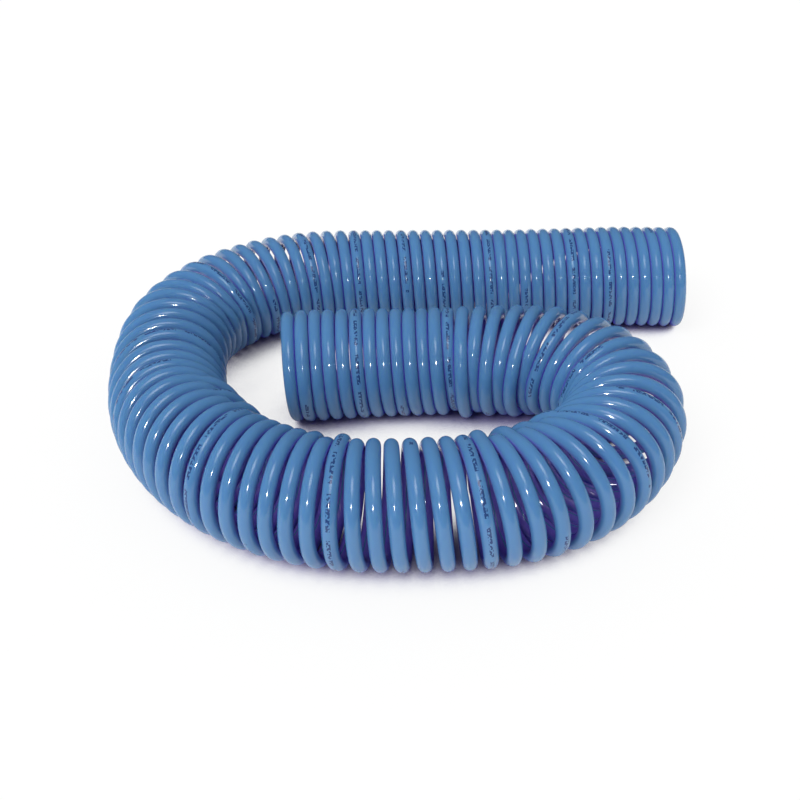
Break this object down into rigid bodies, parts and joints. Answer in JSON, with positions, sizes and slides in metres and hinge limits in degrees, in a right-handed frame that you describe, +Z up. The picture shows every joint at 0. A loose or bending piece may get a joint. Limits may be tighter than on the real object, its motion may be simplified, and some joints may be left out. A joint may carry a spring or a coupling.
{
  "type": "coiled air hose",
  "caption": "Close-wound coiled plastic air hose without fittings, lying flat in an inward spiral, with plain bored tube ends.",
  "frame": {"origin": "middle of the space that the coil takes up on the surface it lies on, at that surface", "axes": "+X along the rear leg towards its free end, +Y from the front run to the rear leg, +Z up"},
  "size_m": [0.477, 0.4128, 0.0857],
  "materials": {
    "tube": "glossy extruded polyamide"
  },
  "bodies": {
    "coil": {"rear_leg_turns": "tube", "main_loop_turns": "tube", "inner_leg_turns": "tube"},
    "outer_end": {"outer_tube_end": "tube"},
    "inner_end": {"inner_tube_end": "tube"}
  },
  "joints": [
    {"name": "outer_end_pull", "type": "slide", "parent": "coil", "child": "outer_end", "axis": [1, 0, 0], "range_m": [0, 3], "stiffness_N_per_m": 17, "deforming": ["rear_leg_turns"]},
    {"name": "inner_end_pull", "type": "slide", "parent": "coil", "child": "inner_end", "axis": [-1, 0, 0], "range_m": [0, 0.035], "stiffness_N_per_m": 29, "deforming": ["inner_leg_turns"]}
  ]
}
